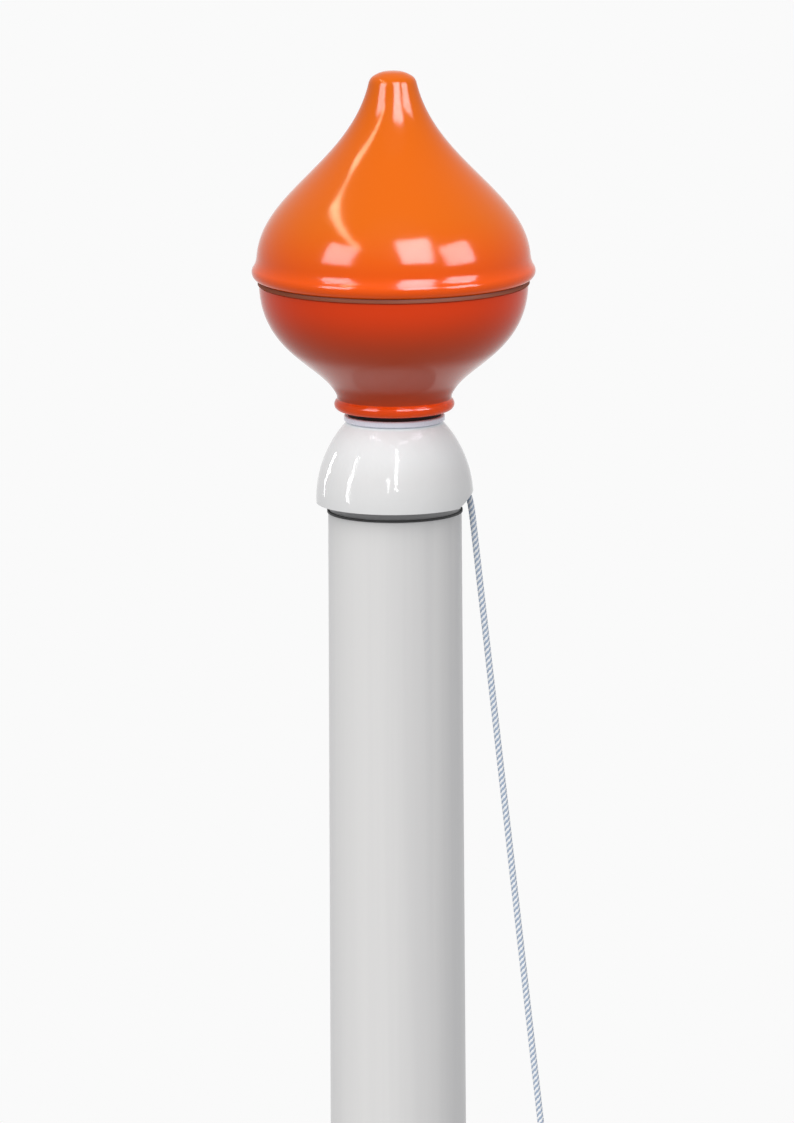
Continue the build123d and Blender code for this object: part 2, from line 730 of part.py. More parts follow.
def sheave_axle():
    """Axle through both cheeks, with a head at one end and a riveted collar at the other."""
    side, pin = cheek_y + cheek_thickness, sheave_axle_diameter / 2
    head, collar = pin + axle_head_overhang, pin + axle_collar_overhang
    section = [(0, -side - axle_head_overhang), (head, -side - axle_head_overhang), (head, -side), (pin, -side),
               (pin, side), (collar, side), (collar, side + axle_collar_overhang), (0, side + axle_collar_overhang)]
    return turned_y(section, sheave_pitch_radius, sheave_z)


# Finial -----------------------------------------------------------------------------------------

def spacer_ring():
    rim, bore, edge = spacer_diameter / 2, stud_diameter / 2 + stud_play, 0.5
    return turned([(bore, cap_top_z), (rim - edge, cap_top_z), (rim, cap_top_z + edge),
                   (rim, spacer_top_z - edge), (rim - edge, spacer_top_z), (bore, spacer_top_z)])


def finial_seal():
    return ring(seal_diameter, stud_diameter + 2 * stud_play, spacer_top_z, finial_z)


bowl_top_z = finial_z + finial_bowl_height
crown_foot_z = bowl_top_z + seam_gap
crown_z = crown_foot_z + bead_height
tip_z = crown_z + finial_crown_height


def bowl_curve(inset):
    """Side of the lower shell, from its rim down to the neck."""
    rim, neck = finial_diameter / 2 - bowl_setback - inset, finial_neck_diameter / 2 - inset
    neck_z = finial_z + finial_neck_height
    return Bezier((rim, bowl_top_z), (rim, bowl_top_z - 0.62 * (bowl_top_z - neck_z)),
                  (neck + 4.5, neck_z + 0.29 * (bowl_top_z - neck_z)), (neck, neck_z))


def crown_curve(inset):
    """Side of the upper shell, from its bead up to the tip."""
    rim, tip = finial_diameter / 2 - inset, finial_tip_diameter / 2 - inset
    return Bezier((rim, crown_z), (rim, crown_z + 0.38 * finial_crown_height),
                  (tip + 11, crown_z + 0.54 * finial_crown_height), (tip, tip_z))


def finial_lower():
    """Bowl with a rolled neck ring, a bottom for the stud and a lap that enters the upper shell."""
    neck_z = finial_z + finial_neck_height
    neck, rim, foot = finial_neck_diameter / 2, finial_diameter / 2 - bowl_setback, seal_diameter / 2
    ring_side = neck_ring_diameter / 2
    lap = finial_diameter / 2 - finial_wall - lap_gap
    ring_top, ring_foot = (neck + 0.3, neck_z - 0.8), (ring_side - 2.2, neck_z - 6.9)
    side = [bowl_curve(0), Line((neck, neck_z), ring_top), ThreePointArc(ring_top, (ring_side, neck_z - 4), ring_foot),
            Line(ring_foot, (foot, finial_z)), Line((foot, finial_z), (0, finial_z)),
            Line((0, finial_z), (0, bowl_top_z)), Line((0, bowl_top_z), (rim, bowl_top_z))]
    outside = revolve(Plane.XZ * make_face(side), Axis.Z)
    outside += Pos(0, 0, bowl_top_z) * Cylinder(lap, lap_height, align=low)
    floor_z = finial_z + finial_floor
    inner_neck, inner_foot = neck - finial_wall, neck - finial_wall - 2
    hollow = [bowl_curve(finial_wall), Line((inner_neck, neck_z), (inner_foot, floor_z)),
              Line((inner_foot, floor_z), (0, floor_z)), Line((0, floor_z), (0, bowl_top_z)),
              Line((0, bowl_top_z), (rim - finial_wall, bowl_top_z))]
    inside = revolve(Plane.XZ * make_face(hollow), Axis.Z)
    inside += Pos(0, 0, bowl_top_z) * Cylinder(lap - finial_wall, lap_height, align=low)
    hole = Pos(0, 0, finial_z) * Cylinder(stud_diameter / 2 + stud_play, finial_floor + 1, align=low)
    return outside - inside - hole


def crown_solid(inset, bead_reach):
    """The upper shell's outside, or its inside, from its foot to the rounded tip."""
    rim, tip = finial_diameter / 2 - inset, finial_tip_diameter / 2 - inset
    rise = finial_tip_rise - inset
    shoulder = (tip * 0.66, tip_z + rise * 0.91)
    top_z = tip_z + rise
    ball = (shoulder[0] ** 2 + (top_z - shoulder[1]) ** 2) / (2 * (top_z - shoulder[1]))
    halfway = (shoulder[0] / 2, top_z - ball + sqrt(ball ** 2 - shoulder[0] ** 2 / 4))
    if bead_reach > 0:
        bulge = (rim + bead_reach, crown_foot_z + bead_height / 2)
        edge = ThreePointArc((rim, crown_foot_z), bulge, (rim, crown_z))
    else:
        edge = Line((rim, crown_foot_z), (rim, crown_z))
    side = [Line((0, crown_foot_z), (rim, crown_foot_z)), edge, crown_curve(inset),
            ThreePointArc((tip, tip_z), (tip * 0.87, tip_z + rise * 0.6), shoulder),
            ThreePointArc(shoulder, halfway, (0, top_z)), Line((0, top_z), (0, crown_foot_z))]
    return revolve(Plane.XZ * make_face(side), Axis.Z)


def finial_upper():
    """Onion-shaped shell with a rolled bead round its lower edge."""
    return crown_solid(0, (bead_diameter - finial_diameter) / 2) - crown_solid(finial_wall, 0)


def finial_stud():
    bottom_z = bridge_top_z - bridge_thickness
    top_z = finial_z + finial_floor + nut_height + thread_end
    return Pos(0, 0, bottom_z) * Cylinder(stud_diameter / 2 - fit, top_z - bottom_z, align=low)


def finial_nut():
    bottom_z = finial_z + finial_floor
    hexagon = RegularPolygon(nut_across_flats / 2, 6, major_radius=False)
    nut = Pos(0, 0, bottom_z) * extrude(hexagon, amount=nut_height)
    return nut - Pos(0, 0, bottom_z) * Cylinder(stud_diameter / 2, nut_height, align=low)


# Halyard ----------------------------------------------------------------------------------------

riser_x = wound_diameter / 2 + rope_radius + halyard_gap
riser_top_z = pole_top_z - head_boss_length / 2


def tube_along(path):
    return sweep(Plane(origin=path @ 0, z_dir=path % 0) * Circle(rope_radius), path=path)


def halyard_riser():
    """Inside line, from the drum straight up to the middle of the pole's end."""
    return tube_along(Line((riser_x, 0, winch_height), (0, 0, riser_top_z - skin_gap)))


outlet = Vector(outlet_x, 0, rim_z + outlet_rise)


def leave_angle():
    """Angle, up from level and back from the vertical, at which the line leaves the sheave."""
    reach_x, reach_z = outlet_x - sheave_pitch_radius, outlet_rise - sheave_height
    return acos(sheave_pitch_radius / sqrt(reach_x ** 2 + reach_z ** 2)) + atan(reach_z / reach_x)


def on_sheave(angle):
    """Point of the line's middle on the sheave, by its angle from +X in radians."""
    return Vector(sheave_pitch_radius * (1 + cos(angle)), 0, sheave_z + sheave_pitch_radius * sin(angle))


taut = Vector(sin(leave_angle()), 0, -cos(leave_angle()))
fall = Vector(sin(radians(halyard_slope)), 0, -cos(radians(halyard_slope)))
bend_back = rim_bend_radius * tan((leave_angle() - radians(halyard_slope)) / 2)
bend_start = outlet - taut * bend_back
bend_end = outlet + fall * bend_back
halyard_end = bend_end + fall * halyard_fall_length


def halyard_head():
    """Line from the stem over the sheave and down to the outlet in the cap."""
    off = leave_angle()
    over = ThreePointArc(on_sheave(pi), on_sheave((pi + off) / 2), on_sheave(off))
    return tube_along(Wire([Edge.make_line(Vector(0, 0, riser_top_z), on_sheave(pi)), over.edge(),
                            Edge.make_line(on_sheave(off), bend_start)]))


def halyard_fall():
    """Line bent over the cap's rim, then straight down and a little outwards to the snap hook."""
    bend = TangentArc(bend_start, bend_end, tangent=taut)
    return tube_along(Wire([bend.edge(), Edge.make_line(bend_end, halyard_end)]))


def hook_place():
    """Frame at the lower end of the line: Z runs up along the line."""
    return Location(Plane(origin=halyard_end, x_dir=(-fall.Z, 0, fall.X), z_dir=-fall))


hook_top = -swivel_length - hook_wire / 2
hook_side = hook_inner_width / 2 + hook_wire / 2


def hook_swivel():
    """Turned barrel that takes the knotted end of the line and swivels on the hook's shank."""
    barrel = Cylinder(hook_wire, swivel_length, align=(Align.CENTER, Align.CENTER, Align.MAX))
    return hook_place() * fillet(barrel.edges().filter_by(GeomType.CIRCLE), swivel_edge)


def snap_hook():
    """Bent-wire hook with an open side that its gate closes."""
    bottom = hook_top - hook_length
    corners = [(0, 0, -swivel_length + 0.2 - hook_wire / 10), (0, 0, hook_top - 4), (-hook_side, 0, hook_top - 12),
               (-hook_side, 0, bottom), (hook_side, 0, bottom), (hook_side, 0, bottom + hook_length / 3)]
    path = FilletPolyline(*corners, radius=[hook_wire, hook_wire, hook_side * 0.98, hook_side * 0.98])
    return hook_place() * sweep(Plane(origin=path @ 0, z_dir=path % 0) * Circle(hook_wire / 2), path=path)


def snap_gate():
    """Sprung gate from the hook's neck to its tip, cut to meet the hook at both ends."""
    gate = Line((hook_side, 0, hook_top - 2 * hook_length / 3 - 1), (hook_wire * 0.45, 0, hook_top - 5))
    bar = hook_place() * sweep(Plane(origin=gate @ 0, z_dir=gate % 0) * Circle(hook_wire * 0.4), path=gate)
    return (bar - snap_hook()).solids().sort_by(SortBy.VOLUME)[-1]


nodes = [
    base_plate, base_spigot, base_collar, pole_tube,
    hatch_housing, rope_eye, cleat_body, stop_plug, catch_lug, hatch_cover, lock_housing, lock_plug, lock_cam, key,
    winch_rosette, winch_frame, winch_drum, drum_turns, crank_hub, crank_arm, grip_spindle, crank_grip,
    head_gasket, head_plug, bearing_tube, bearing_washer, swivel_bracket, stem_clip, cap_dome,
    sheave, sheave_bush, sheave_axle,
    spacer_ring, finial_seal, finial_lower, finial_upper, finial_stud, finial_nut,
    halyard_riser, halyard_head, halyard_fall, hook_swivel, snap_hook, snap_gate,
]

os.makedirs("parts", exist_ok=True)
for node in nodes:
    export_step(node(), f"parts/{node.__name__}.step")
print("halyard arc radii:", sheave_pitch_radius, rim_bend_radius)
print("halyard points:", [tuple(round(value, 2) for value in point) for point in (bend_start, outlet, halyard_end)])
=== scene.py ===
import json
from math import cos, pi, radians, sin, tau

import bmesh
import bpy
from mathutils import Matrix, Vector

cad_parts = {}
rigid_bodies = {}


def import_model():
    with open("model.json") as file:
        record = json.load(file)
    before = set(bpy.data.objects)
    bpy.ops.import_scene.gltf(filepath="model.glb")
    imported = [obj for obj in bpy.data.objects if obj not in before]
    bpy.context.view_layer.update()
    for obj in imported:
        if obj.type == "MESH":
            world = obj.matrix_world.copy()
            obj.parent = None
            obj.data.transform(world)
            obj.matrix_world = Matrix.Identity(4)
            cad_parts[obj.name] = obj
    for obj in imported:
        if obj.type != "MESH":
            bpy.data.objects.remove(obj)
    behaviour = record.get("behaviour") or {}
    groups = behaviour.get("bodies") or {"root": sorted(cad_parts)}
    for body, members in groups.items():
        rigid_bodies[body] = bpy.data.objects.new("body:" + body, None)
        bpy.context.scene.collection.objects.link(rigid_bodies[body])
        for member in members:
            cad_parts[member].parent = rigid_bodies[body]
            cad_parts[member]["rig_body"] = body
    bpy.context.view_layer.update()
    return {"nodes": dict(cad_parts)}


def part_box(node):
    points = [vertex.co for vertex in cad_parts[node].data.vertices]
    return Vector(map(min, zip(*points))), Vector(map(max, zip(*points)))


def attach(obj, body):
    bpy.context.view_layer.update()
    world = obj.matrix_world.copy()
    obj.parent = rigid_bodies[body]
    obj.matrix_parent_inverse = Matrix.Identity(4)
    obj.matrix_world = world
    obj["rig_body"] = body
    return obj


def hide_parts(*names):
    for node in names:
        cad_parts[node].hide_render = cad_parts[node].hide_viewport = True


# Flagpole: paint, metal and rope over the CAD frame. Metres, +Z up, hatch and crank on the -Y side.
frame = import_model()
mm = 0.001
print("frame loaded:", len(frame["nodes"]), "nodes")


class Sock:  # a node's socket that can stand in a sum
    def __init__(self, tree, socket=None):
        self.tree = tree
        self.socket = socket

    def node(self, kind, settings=None, inputs=None, output=0):  # a new node, its inputs set or linked
        made = self.tree.nodes.new(kind)
        for name, value in (settings or {}).items():
            setattr(made, name, value)
        for name, value in (inputs or {}).items():
            if isinstance(value, Sock):
                self.tree.links.new(value.socket, made.inputs[name])
            else:
                made.inputs[name].default_value = value
        return Sock(self.tree, made.outputs[output])

    def math(self, operation, first, second=0.0):
        return self.node("ShaderNodeMath", {"operation": operation}, {0: first, 1: second})

    def __add__(self, other):
        return self.math("ADD", self, other)

    def __radd__(self, other):
        return self.math("ADD", other, self)

    def __sub__(self, other):
        return self.math("SUBTRACT", self, other)

    def __mul__(self, other):
        return self.math("MULTIPLY", self, other)

    def __pow__(self, other):
        return self.math("POWER", self, other)

    def wave(self):
        return self.math("SINE", self)

    def band(self, low, high):  # 0 at low, 1 at high, soft between
        return self.node("ShaderNodeMapRange", {"interpolation_type": "SMOOTHSTEP"},
                         {"Value": self, "From Min": low, "From Max": high})

    def tint(self, dark, light):  # colour from dark to light as self goes from 0 to 1
        return self.node("ShaderNodeMix", {"data_type": "RGBA"}, {0: self, 6: dark, 7: light}, 2)

    def split(self):  # X, Y and Z of a vector
        made = self.node("ShaderNodeSeparateXYZ", inputs={0: self})
        return [Sock(self.tree, made.socket.node.outputs[index]) for index in range(3)]


def tone(red, green, blue):
    return (red, green, blue, 1.0)


def grey(level):
    return tone(level, level, level)


def startMaterial(name, settings):
    material = bpy.data.materials.new(name)
    material.use_nodes = True
    shader = material.node_tree.nodes["Principled BSDF"]
    for key, value in settings.items():
        shader.inputs[key].default_value = value
    return material, Sock(material.node_tree), shader


def join(sock, shader, name):
    sock.tree.links.new(sock.socket, shader.inputs[name])


def place(start, centre=(0, 0, 0), stretch=(1, 1, 1)):  # object coordinates, centred on a piece
    position = start.node("ShaderNodeTexCoord", output=3)
    away = tuple(-value for value in centre)
    moved = position.node("ShaderNodeMapping", inputs={"Vector": position, "Location": away})
    return moved.node("ShaderNodeMapping", inputs={"Vector": moved, "Scale": stretch})


def noise(where, scale, detail=3.0, rough=0.5):
    return where.node("ShaderNodeTexNoise", inputs={"Vector": where, "Scale": scale, "Detail": detail,
                                                    "Roughness": rough})


def bump(height, strength, depth):
    return height.node("ShaderNodeBump", inputs={"Strength": strength, "Distance": depth, "Height": height})


def middle(node):
    low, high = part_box(node)
    return (low + high) / 2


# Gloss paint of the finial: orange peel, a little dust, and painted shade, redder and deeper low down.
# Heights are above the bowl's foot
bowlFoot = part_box("finial_lower")[0].z
paint = {"crown": tone(0.74, 0.132, 0.002), "crownShaded": tone(0.85, 0.092, 0.002),
         "crownFade": (80.2 * mm, 120.2 * mm),
         "bowl": tone(0.70, 0.045, 0.003), "bowlShaded": tone(0.44, 0.046, 0.008),
         "bowlFade": (35.2 * mm, 68.2 * mm), "cloudReach": 12 * mm,
         "ring": tone(0.84, 0.070, 0.003), "ringTop": 7.7 * mm, "ringEdge": 0.4 * mm,
         "lip": tone(0.25, 0.060, 0.018), "lipFoot": 73.4 * mm, "lipEdge": 0.1 * mm, "lipRoughness": 0.5,
         "neckTop": (38.2 * mm, 30.2 * mm), "neckFoot": (13.7 * mm, 18.2 * mm), "neckCoat": 0.42,
         "specular": 0.13, "coatRoughness": 0.12, "roughness": 0.13, "peelScale": 420,
         "peelDepth": 0.005 * mm, "dustScale": 2600}


def finialPaint(name, shell):
    material, start, shader = startMaterial(name, {"Specular IOR Level": paint["specular"],
                                                   "Coat Roughness": paint["coatRoughness"]})
    where = place(start)
    height = where.split()[2] - bowlFoot
    cloud = (noise(where, 14, 4) - 0.5) * paint["cloudReach"]
    # Painted shade: each shell blends to a redder, darker tone towards its foot
    shade = (height + cloud).band(*paint[shell + "Fade"]).tint(paint[shell + "Shaded"], paint[shell])
    dust = noise(where, paint["dustScale"], 1).band(0.70, 0.78)
    roughness = paint["roughness"] + (noise(where, 60, 3) - 0.5) * 0.05 + dust * 0.04
    if shell == "bowl":
        ring = height.band(paint["ringTop"] - paint["ringEdge"], paint["ringTop"] + paint["ringEdge"])
        lip = height.band(paint["lipFoot"] - paint["lipEdge"], paint["lipFoot"])
        shade = lip.tint(ring.tint(paint["ring"], shade), paint["lip"])
        roughness = roughness + lip * paint["lipRoughness"]
        neck = height.band(*paint["neckTop"]) * height.band(*paint["neckFoot"])
        join(neck * paint["neckCoat"], shader, "Coat Weight")
    join(shade, shader, "Base Color")
    join(roughness, shader, "Roughness")
    peel = noise(where, paint["peelScale"], 2)
    join(bump(peel + dust * 0.5, 0.5, paint["peelDepth"]), shader, "Normal")
    return material


# Gloss moulded shell of the cap, with the slight waves of thick gelcoat, and painted light: the top is
# lighter and a little cyan, against the finial's shade and orange bounce above it
cap = {"crown": tone(0.82, 0.865, 0.878), "skirt": tone(0.72, 0.728, 0.73), "fade": (-8 * mm, 20 * mm),
       "cloudReach": 8 * mm, "specular": 0.28, "roughness": 0.07, "waveScale": 110,
       "waveStretch": (1, 1, 0.7), "waveDepth": 0.45 * mm, "rippleScale": 330, "ripple": 0.20}


def capGloss():
    material, start, shader = startMaterial("cap_gloss_white", {"Specular IOR Level": cap["specular"]})
    where = place(start, middle("cap_dome"))
    height = where.split()[2] + (noise(where, 22, 3) - 0.5) * cap["cloudReach"]
    # Painted light: the skirt tone lightens to the cyan-white crown tone towards the top
    join(height.band(*cap["fade"]).tint(cap["skirt"], cap["crown"]), shader, "Base Color")
    waves = noise(place(start, middle("cap_dome"), cap["waveStretch"]), cap["waveScale"], 2, 0.4)
    ripple = noise(where, cap["rippleScale"], 1)
    join(bump(waves + ripple * cap["ripple"], 0.55, cap["waveDepth"]), shader, "Normal")
    join(cap["roughness"] + noise(where, 40, 3) * 0.05, shader, "Roughness")
    return material


# Satin gelcoat of the tube: fibre streaks run up the pole under a fine skin
gelcoat = {"base": tone(0.72, 0.72, 0.715), "shade": grey(0.665), "specular": 0.18, "roughness": 0.34,
           "streakStretch": (1, 1, 0.012), "streakScale": 120, "streaks": 0.35, "broadScale": 26,
           "grainScale": 700, "skinScale": 260, "skinDepth": 0.02 * mm}


def poleGelcoat():
    material, start, shader = startMaterial("pole_gelcoat", {"Specular IOR Level": gelcoat["specular"]})
    where = place(start, stretch=gelcoat["streakStretch"])
    streaks = noise(where, gelcoat["streakScale"], 4, 0.6)
    broad = noise(where, gelcoat["broadScale"], 2)
    pattern = streaks * gelcoat["streaks"] + broad * (1 - gelcoat["streaks"])
    join(pattern.band(0.36, 0.62).tint(gelcoat["shade"], gelcoat["base"]), shader, "Base Color")
    grain = noise(where, gelcoat["grainScale"], 2)
    join(gelcoat["roughness"] + (broad - 0.5) * 0.14 + (grain - 0.5) * 0.05, shader, "Roughness")
    skin = noise(place(start), gelcoat["skinScale"], 3)
    join(bump(skin + streaks * 0.5, 0.35, gelcoat["skinDepth"]), shader, "Normal")
    return material


def moulded(name, base, shade, roughness, grain=900, depth=0.012 * mm, specular=0.5):  # plastic or rubber
    material, start, shader = startMaterial(name, {"Specular IOR Level": specular})
    where = place(start)
    cloud = noise(where, 45, 4)
    join(cloud.band(0.3, 0.7).tint(shade, base), shader, "Base Color")
    grit = noise(where, grain, 2)
    join(roughness + (cloud - 0.5) * 0.12 + (grit - 0.5) * 0.08, shader, "Roughness")
    join(bump(grit, 0.6, depth), shader, "Normal")
    return material


def steel(name, base, shade, roughness, centre=None, rings=0.0, along=(1, 1, 1)):
    material, start, shader = startMaterial(name, {"Metallic": 1.0})
    cloud = noise(place(start), 70, 4)
    if rings:  # turned on a lathe about an axis along Y
        x, _, z = place(start, centre).split()
        radius = (x * x + z * z) ** 0.5
        mark = (radius * rings).wave() * 0.35 + noise(place(start, centre, (1, 0.2, 1)), 500, 2)
    else:
        mark = noise(place(start, stretch=along), 800, 3)
    join((cloud * 0.5 + mark * 0.5).band(0.25, 0.75).tint(shade, base), shader, "Base Color")
    join(roughness + (cloud - 0.5) * 0.16 + (mark - 0.5) * 0.10, shader, "Roughness")
    join(bump(mark, 0.5, 0.006 * mm), shader, "Normal")
    return material


# Hot-dip galvanised steel: crystal spangles of several greys
zinc = {"dark": tone(0.44, 0.46, 0.47), "light": tone(0.60, 0.62, 0.63), "spangleScale": 130, "spangles": 0.7,
        "roughness": 0.34, "depth": 0.03 * mm}


def zincCoat():
    material, start, shader = startMaterial("zinc_coat", {"Metallic": 0.85})
    where = place(start)
    cells = where.node("ShaderNodeTexVoronoi", {"feature": "F1"},
                       {"Vector": where, "Scale": zinc["spangleScale"], "Randomness": 1.0}, 1)
    cell = cells.split()[0]
    pattern = cell * zinc["spangles"] + noise(where, 60, 2) * (1 - zinc["spangles"])
    join(pattern.band(0.1, 0.9).tint(zinc["dark"], zinc["light"]), shader, "Base Color")
    join(zinc["roughness"] + cell * 0.22, shader, "Roughness")
    join(bump(cell * 0.4 + noise(where, 500, 3), 0.4, zinc["depth"]), shader, "Normal")
    return material


# Halyard: white and blue-grey yarn. In the braid, the "yarn" coordinates run along and round each strand, and
# "strandTone" is its share of blue
yarn = {"white": tone(0.93, 0.95, 0.97), "blue": tone(0.37, 0.46, 0.60), "roughness": 0.62,
        "fibresAround": 34, "fibresAlong": 22, "fleckScale": 1500, "fleck": 0.35, "depth": 0.05 * mm}
innerYarn = {"white": tone(0.84, 0.86, 0.89), "blue": tone(0.30, 0.38, 0.50), "roughness": 0.6,
             "along": 3900, "across": 2400, "slant": 1960, "depth": 0.15 * mm}


def ropeYarn():
    material, start, shader = startMaterial("halyard_braid", {"Specular IOR Level": 0.25,
                                                              "Sheen Weight": 0.15})
    turns, around, _ = start.node("ShaderNodeUVMap", {"uv_map": "yarn"}).split()
    blue = start.node("ShaderNodeAttribute", {"attribute_name": "strandTone"}, output=2)
    fibre = (around * yarn["fibresAround"] + turns * yarn["fibresAlong"]).wave()
    fleck = noise(place(start), yarn["fleckScale"], 3)
    mix = (blue + (fleck - 0.5) * yarn["fleck"]).band(0.0, 1.0)
    join(mix.tint(yarn["white"], yarn["blue"]), shader, "Base Color")
    join(yarn["roughness"] + fleck * 0.2, shader, "Roughness")
    join(bump(fibre * 0.5 + fleck, 0.7, yarn["depth"]), shader, "Normal")
    return material


def ropeInside():  # the same rope where it runs inside the pole
    material, start, shader = startMaterial("halyard_inside", {"Specular IOR Level": 0.25})
    x, y, z = place(start).split()
    diagonal = ((x + y) * innerYarn["across"] + z * innerYarn["slant"]).wave()
    twill = ((z * innerYarn["along"]).wave() * diagonal).band(-0.2, 0.5)
    join(twill.tint(innerYarn["blue"], innerYarn["white"]), shader, "Base Color")
    join(innerYarn["roughness"] + twill * 0.2, shader, "Roughness")
    join(bump(twill, 0.6, innerYarn["depth"]), shader, "Normal")
    return material


# Finishes of the CAD nodes. The two braided lengths of the halyard get theirs with the braid
winchAxis = middle("winch_rosette")
finishes = {"finial_lower": finialPaint("bowl_paint", "bowl"),
            "finial_upper": finialPaint("crown_paint", "crown"),
            "cap_dome": capGloss(), "pole_tube": poleGelcoat()}
shared = {
    moulded("washer_white", tone(0.80, 0.82, 0.92), tone(0.74, 0.76, 0.86), 0.28): ["spacer_ring"],
    moulded("flange_grey", grey(0.37), tone(0.30, 0.30, 0.305), 0.42): ["head_plug", "bearing_tube"],
    moulded("gasket_black", tone(0.028, 0.028, 0.030), grey(0.018), 0.62, 1400): ["head_gasket"],
    moulded("seal_black", tone(0.022, 0.012, 0.012), tone(0.014, 0.008, 0.008), 0.66, specular=0.2):
        ["finial_seal"],
    moulded("collar_white", gelcoat["base"], gelcoat["shade"], 0.26, 700, 0.02 * mm): ["base_collar"],
    moulded("bearing_white", tone(0.75, 0.75, 0.72), tone(0.68, 0.68, 0.66), 0.40):
        ["bearing_washer", "sheave"],
    moulded("cleat_black", tone(0.020, 0.020, 0.021), tone(0.011, 0.011, 0.012), 0.40, 1100, 0.02 * mm):
        ["cleat_body", "stop_plug"],
    moulded("grip_black", tone(0.020, 0.020, 0.021), grey(0.011), 0.34, specular=0.3): ["crank_grip"],
    moulded("lock_ring_black", tone(0.020, 0.020, 0.022), tone(0.012, 0.012, 0.013), 0.22): ["lock_housing"],
    moulded("hatch_frame_white", grey(0.76), tone(0.68, 0.68, 0.69), 0.30, 700, 0.02 * mm):
        ["hatch_housing", "catch_lug"],
    moulded("cover_grey", tone(0.60, 0.60, 0.595), grey(0.55), 0.38, 600, 0.02 * mm): ["hatch_cover"],
    steel("satin_steel", grey(0.44), grey(0.27), 0.28, winchAxis, 5200.0): ["winch_rosette", "winch_drum"],
    steel("crank_chrome", tone(0.40, 0.40, 0.41), tone(0.30, 0.30, 0.31), 0.20):
        ["crank_hub", "crank_arm", "grip_spindle"],
    steel("key_nickel", tone(0.50, 0.49, 0.47), tone(0.34, 0.335, 0.33), 0.18):
        ["key", "lock_plug", "rope_eye"],
    steel("stainless", grey(0.62), grey(0.48), 0.24, along=(1, 1, 0.15)):
        ["snap_hook", "snap_gate", "hook_swivel", "lock_cam", "stem_clip", "sheave_axle", "finial_stud",
         "finial_nut"],
    zincCoat(): ["base_plate", "base_spigot", "winch_frame", "swivel_bracket"],
    steel("bush_bronze", tone(0.62, 0.42, 0.20), tone(0.48, 0.30, 0.13), 0.36): ["sheave_bush"],
    ropeInside(): ["halyard_riser", "drum_turns"],
}
for material, nodes in shared.items():
    finishes.update({node: material for node in nodes})
for node, material in finishes.items():
    frame["nodes"][node].material_slots[0].material = material
print("finishes:", len(finishes), "nodes")


def addPiece(name, bm, like, material, replaced=(), crease=32):  # an object that rides on a CAD node's body
    for face in bm.faces:
        face.smooth = True
    for edge in bm.edges:
        edge.smooth = len(edge.link_faces) == 2 and edge.calc_face_angle(0) < radians(crease)
    mesh = bpy.data.meshes.new(name)
    bm.to_mesh(mesh)
    bm.free()
    mesh.materials.append(material)
    piece = bpy.data.objects.new(name, mesh)
    bpy.context.scene.collection.objects.link(piece)
    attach(piece, frame["nodes"][like]["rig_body"])
    if replaced:
        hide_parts(*replaced)
    return piece


def spinSection(points, steps):  # closed section of (radius, height) points, turned once about Z
    bm = bmesh.new()
    corners = [bm.verts.new((radius, 0, height)) for radius, height in points]
    rim = [bm.edges.new(pair) for pair in zip(corners, corners[1:] + corners[:1])]
    bmesh.ops.spin(bm, geom=corners + rim, cent=(0, 0, 0), axis=(0, 0, 1), dvec=(0, 0, 0), angle=tau,
                   steps=steps, use_merge=True)
    bmesh.ops.remove_doubles(bm, verts=bm.verts[:], dist=0.001 * mm)
    bmesh.ops.dissolve_degenerate(bm, edges=bm.edges[:], dist=0.0001 * mm)
    bmesh.ops.recalc_face_normals(bm, faces=bm.faces[:])
    return bm


def curvePoints(a, b, c, d, count):  # cubic curve, both ends included
    points = []
    for index in range(count + 1):
        t = index / count
        weights = ((1 - t) ** 3, 3 * t * (1 - t) ** 2, 3 * t * t * (1 - t), t ** 3)
        points.append(tuple(sum(w * p[axis] for w, p in zip(weights, (a, b, c, d))) for axis in (0, 1)))
    return points


def arcPoints(centre, radius, start, end, count):  # arc from one angle to another, in degrees
    angles = [radians(start + (end - start) * index / count) for index in range(count + 1)]
    return [(centre[0] + radius * cos(angle), centre[1] + radius * sin(angle)) for angle in angles]


def beside(point, offset):  # where a curve's handle stands from its end
    return (point[0] + offset[0], point[1] + offset[1])


# Onion finial: two thin shells. The upper one has a rolled bead and a rounded tip
crown = {"wall": 2.5 * mm, "roof": 3.25 * mm, "steps": 128, "crease": 50,
         "rim": 77.8 * mm, "rimFoot": 1.6 * mm, "sideFoot": 10.6 * mm, "sideSteps": 72, "bellyRise": 0.38,
         "waist": 11 * mm, "waistRise": 0.54, "tip": 13.6 * mm, "tipDrop": 5.5 * mm,
         "beadRadius": 4.6 * mm, "beadRise": 5.2 * mm, "beadArc": (-82, 34, 22),
         "blendRise": 14.2 * mm, "blendSteps": 10,
         "blendHandles": ((-1.5 * mm, 2.4 * mm), (0.25 * mm, -3 * mm)),
         "crest": 8.8 * mm, "crestDrop": 0.6 * mm, "crestRise": 1.0 * mm, "crestSteps": 10,
         "crestHandle": (-2.2 * mm, 1.1 * mm), "shoulderSteps": 14,
         "shoulderHandles": ((-0.9 * mm, 2.8 * mm), (2.6 * mm, -1.3 * mm))}


